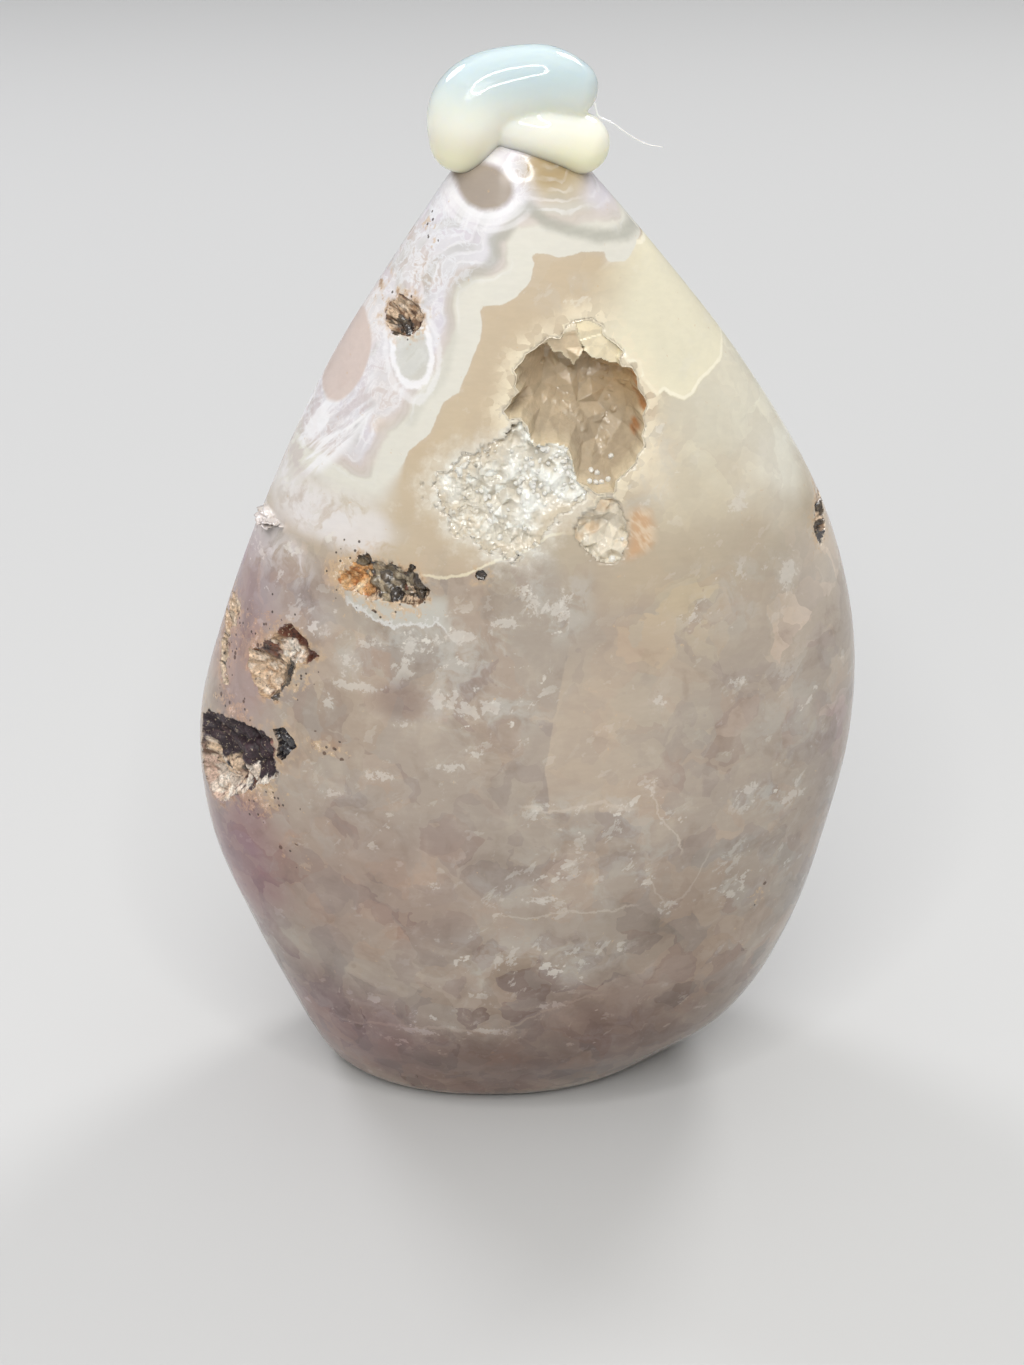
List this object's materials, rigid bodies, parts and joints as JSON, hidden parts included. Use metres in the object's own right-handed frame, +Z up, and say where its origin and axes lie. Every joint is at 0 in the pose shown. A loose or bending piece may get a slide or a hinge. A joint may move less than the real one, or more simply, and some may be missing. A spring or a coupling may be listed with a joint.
{
  "type": "polished agate teardrop",
  "caption": "Freestanding polished agate teardrop on a flat base, with a crystal-lined pocket high on its front, small dark vugs and a blob of hot glue over its tip.",
  "frame": {"origin": "middle of the stone's width and depth, on the surface it stands on", "axes": "+X to the right as seen from the front, -Y out of the front with the crystal pocket, +Z up"},
  "size_m": [0.0723, 0.0396, 0.1167],
  "materials": {
    "agate": "polished translucent agate: grey-white bands, beige and lavender quartz, tan and black vugs",
    "quartz_crystal": "clear to icy quartz points, smoky beige deep in the pocket",
    "hot_glue": "glossy milky glue, bluish on top and creamy at its lower edges"
  },
  "bodies": {
    "root": {"agate_stone": "agate", "druzy_crust": "quartz_crystal", "glue_tip_cap": "hot_glue"}
  },
  "joints": []
}
